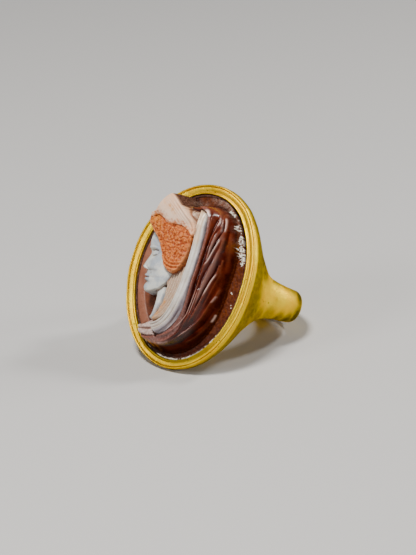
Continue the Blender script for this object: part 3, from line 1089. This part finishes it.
def stoneMaterial():
    material, tree, shader = newMaterial("layeredSardonyx")
    place = mark(tree, "upright", "Vector")
    wear = useGroup(tree, surfaceWear, {"Place": place, "Pit Scale": 3.0, "Pit Share": 0.18,
                                        "Grain Scale": 6.0})
    crusty = useGroup(tree, paleCrust, {"Place": place, "Scale": 2.6})
    cloud = put(tree, "TexNoise", {"Vector": place, "Scale": 0.5, "Detail": 4.0, "Roughness": 0.6})
    fine = put(tree, "TexNoise", {"Vector": place, "Scale": 3.2, "Detail": 5.0, "Roughness": 0.7})
    cloudy = spread(tree, cloud, 0.35, 0.65)
    flecks = spread(tree, fine, 0.40, 0.66)
    drift = {"ground": flecks, "hair": flecks, "drapery": flecks, "inner": flecks, "pleat": flecks}

    def tones(name):
        first, second = stoneTones[name]
        return blendColour(tree, drift.get(name, cloudy), first, second)

    colour = ground = blendColour(tree, mark(tree, "strip"), tones("ground"), tones("strip"))
    for name in ("veil", "pleat", "inner", "pale", "cream", "band", "peach", "edge", "hair", "diadem",
                 "drapery"):
        colour = blendColour(tree, mark(tree, name), colour, tones(name))
    under = blendColour(tree, spread(tree, fine, 0.40, 0.62), *stoneTones["under"])
    colour = blendColour(tree, mark(tree, "under"), colour, under)
    # low down, each wall goes over into the ground
    level = put(tree, "SeparateXYZ", {"Vector": place}, 2)
    foot = spread(tree, level, cameo["front"] - 0.30, cameo["front"] + 0.55, 1.0, 0.0)
    colour = blendColour(tree, foot, colour, ground)
    # lighter crests and worn lines on the veil, darker hollows everywhere
    crest = times(tree, times(tree, mark(tree, "ridge"), mark(tree, "veil")), 0.50)
    colour = blendColour(tree, crest, colour, stoneStains["crest"])
    colour = blendColour(tree, mark(tree, "worn"), colour, stoneStains["worn"])
    hollow = mark(tree, "hollow")
    colour = blendColour(tree, times(tree, hollow, 0.75), colour, stoneStains["hollow"], "MULTIPLY")
    # dark partings in the hair, and light crests on its curls
    parting = times(tree, mark(tree, "parting"), 0.60)
    colour = blendColour(tree, parting, colour, stoneStains["parting"], "MULTIPLY")
    onHair = sums(tree, "SUBTRACT", mark(tree, "hair"), mark(tree, "under"))
    lit = times(tree, times(tree, mark(tree, "ridge"), onHair), 0.30)
    colour = blendColour(tree, lit, colour, stoneStains["curl"])
    # the dark layer is darkest towards the foot
    apart = put(tree, "SeparateXYZ", {"Vector": place}, 1)
    foot = spread(tree, apart, -9.0, -3.5, 1.0, 0.0)
    nearFoot = times(tree, foot, sums(tree, "SUBTRACT", 1.0, mark(tree, "worn")))
    darkLayer = sums(tree, "MAXIMUM", sums(tree, "SUBTRACT", mark(tree, "veil"), mark(tree, "pleat")),
                     mark(tree, "bare"))
    shade = times(tree, nearFoot, times(tree, darkLayer, 0.55))
    colour = blendColour(tree, shade, colour, stoneStains["foot"], "MULTIPLY")
    # stains, leftovers, the gap at the shoulder and the chipped edge
    ochre = times(tree, mark(tree, "ochre"), spread(tree, fine, 0.36, 0.60, 0.15, 1.0))
    colour = blendColour(tree, ochre, colour, stoneStains["ochre"])
    colour = blendColour(tree, mark(tree, "gap"), colour, stoneStains["gap"])
    speckled = times(tree, mark(tree, "residue"), spread(tree, crusty["Grit"], 0.46, 0.62))
    colour = blendColour(tree, speckled, colour, stoneStains["residue"])
    crust = times(tree, mark(tree, "crust"), spread(tree, crusty["Lumps"], 0.0, 0.5, 0.4, 1.0))
    colour = blendColour(tree, crust, colour, stoneStains["crust"])
    colour = blendColour(tree, mark(tree, "chipped"), colour, stoneStains["chipped"])
    tree.links.new(colour, shader.inputs["Base Color"])
    # the polish is kept on the veil, and lost on the ground and under the crust
    dull = sums(tree, "MAXIMUM", mark(tree, "crust"), mark(tree, "chipped"))
    dull = sums(tree, "MAXIMUM", dull, times(tree, mark(tree, "residue"), 0.6))
    unpolished = sums(tree, "MAXIMUM", times(tree, mark(tree, "bare"), 0.45), mark(tree, "matt"))
    dull = sums(tree, "MAXIMUM", dull, unpolished)
    rough = plus(tree, wear["Patches"], 0.07, 0.25)
    rough = plus(tree, mark(tree, "veil"), -0.05, rough)
    tree.links.new(plus(tree, dull, 0.45, rough), shader.inputs["Roughness"])
    shine = plus(tree, mark(tree, "bare"), -0.26, 0.36)
    shine = plus(tree, mark(tree, "matt"), -0.34, shine)
    tree.links.new(shine, shader.inputs["Specular IOR Level"])
    shader.inputs["Subsurface Weight"].default_value = 0.08
    shader.inputs["Subsurface Radius"].default_value = (1.0, 0.5, 0.3)
    shader.inputs["Subsurface Scale"].default_value = 0.0006
    height = times(tree, wear["Pits"], -0.8)
    height = plus(tree, wear["Scratches"], -0.10, height)
    height = plus(tree, fine, 0.25, height)
    height = plus(tree, crust, times(tree, crusty["Grit"], 2.0), height)
    bumps = put(tree, "Bump", {"Height": height, "Strength": 0.4, "Distance": 0.00005})
    tree.links.new(bumps, shader.inputs["Normal"])
    return material


finishPiece("cameo", makeCameo(), stoneMaterial(), "cameo_stone")


# cement: fills the gap round the stone, crumbled, sunk and mostly dark with dirt

cement = {
    "gap": 0.04,
    "sunk": 0.30,            # how far its top usually lies below the rim
    "deep": 0.95,            # and how much deeper it lies where it has fallen out
    "crumb": 0.07,
    "segments": 420,
    "topRows": (0.05, 0.22, 0.4, 0.58, 0.75, 0.9),
}

# where it is still pale, and where it has fallen out: turn from +x, half width in degrees, amount
paleCement = [(244, 18, 0.5), (270, 22, 1.0), (296, 20, 0.9), (318, 14, 0.6), (192, 10, 0.2)]
fallenCement = [(54, 34, 1.0), (290, 26, 0.25)]


def roundabout(turn, places):
    # the strongest of several amounts at a turn
    return max(amount * float(ease(1 - abs((turn - middleTurn + 180) % 360 - 180) / width))
               for middleTurn, width, amount in places)


def makeCement():
    bm = bmesh.new()
    pale = bm.verts.layers.float.new("whitened")
    start = bmesh.ops.create_circle(bm, segments=cement["segments"], radius=1)["verts"]
    angle = {v: math.atan2(v.co.y, v.co.x) for v in start}
    width, length, front, gap = cameo["halfWidth"], cameo["halfLength"], cameo["front"], cement["gap"]
    # across from the stone to the gold, level below the front, how much each follows the crumbled top
    rows = [(None, cameo["base"] - gap, 0), (0.0, cameo["base"] - gap, 0), (0.0, cameo["side"] - 0.2, 0.1),
            (0.0, cameo["side"] + 0.2, 0.7)]
    for t in cement["topRows"]:
        rows.append((t, -cement["sunk"] + 0.04 * math.sin(math.pi * t), 1))
    rows += [(1.0, -0.6, 0.7), (1.0, -1.2, 0.1), (1.0, -gold["seatDepth"] + gap, 0),
             (None, -gold["seatDepth"] + gap, 0)]
    edges = bm.edges[:]
    for number, (acrossGap, level, follows) in enumerate(rows):
        if number:
            edges, pairs = extrudeRow(bm, edges)
            angle.update({v: angle[source] for v, source in pairs})
            loop = [v for v, _ in pairs]
        else:
            loop = start
        for v in loop:
            a = angle[v]
            turn = math.degrees(a)
            lip = 1.5 * rimShare(turn)
            outX, outY = gold["halfWidth"] - lip - gap, gold["halfLength"] - lip - gap
            if acrossGap is None:
                reachX, reachY = width - 2.4, length - 2.4
            else:
                reachX, reachY = mix(width + gap, outX, acrossGap), mix(length + gap, outY, acrossGap)
            x, y = reachX * math.cos(a), reachY * math.sin(a)
            place = Vector((x, y, 3 * (acrossGap or 0))) * 2.1
            crumbs = cement["crumb"] * noise.fractal(place, 0.8, 2.1, 3)
            fallen = cement["deep"] * roundabout(turn, fallenCement)
            v.co = (x, y, front + level + follows * (crumbs - fallen))
            atGold = float(ease(((acrossGap or 0) - 0.45) / 0.3))
            v[pale] = roundabout(turn, paleCement) * atGold
    bmesh.ops.bridge_loops(bm, edges=[e for e in bm.edges if e.is_boundary])
    handShaped(bm, front, width, length)
    return bm


cementTones = {
    "pale": ((0.46, 0.40, 0.30, 1), (0.74, 0.70, 0.60, 1)),
    "grit": (0.24, 0.15, 0.09, 1),
    "dirt": ((0.030, 0.010, 0.006, 1), (0.085, 0.030, 0.018, 1)),
}


def cementMaterial():
    material, tree, shader = newMaterial("paleCement")
    place = mark(tree, "upright", "Vector")
    crust = useGroup(tree, paleCrust, {"Place": place, "Scale": 2.2})
    colour = blendColour(tree, crust["Lumps"], *cementTones["pale"])
    colour = blendColour(tree, spread(tree, crust["Grit"], 0.55, 0.75), colour, cementTones["grit"])
    dirt = blendColour(tree, crust["Lumps"], *cementTones["dirt"])
    stays = spread(tree, plus(tree, crust["Lumps"], 0.5, mark(tree, "whitened")), 0.45, 0.95)
    colour = blendColour(tree, stays, dirt, colour)
    tree.links.new(colour, shader.inputs["Base Color"])
    tree.links.new(spread(tree, crust["Grit"], 0.2, 0.8, 0.70, 0.92), shader.inputs["Roughness"])
    shader.inputs["Specular IOR Level"].default_value = 0.3
    height = plus(tree, crust["Grit"], 0.6, crust["Lumps"])
    bumps = put(tree, "Bump", {"Height": height, "Strength": 0.7, "Distance": 0.00008})
    tree.links.new(bumps, shader.inputs["Normal"])
    return material


finishPiece("cement", makeCement(), cementMaterial(), "bedding")


# the floor, and the end

floorMesh = bpy.data.meshes.new("floor")
bm = bmesh.new()
bmesh.ops.create_grid(bm, x_segments=2, y_segments=2, size=view["floorSize"] / 2)
bm.to_mesh(floorMesh)
bm.free()
floor = bpy.data.objects.new("floor", floorMesh)
bpy.context.collection.objects.link(floor)
floorLook, floorTree, floorShader = newMaterial("paleFloor")
floorShader.inputs["Base Color"].default_value = view["floorColour"]
floorShader.inputs["Roughness"].default_value = 0.9
floorMesh.materials.append(floorLook)
print("floor is laid")
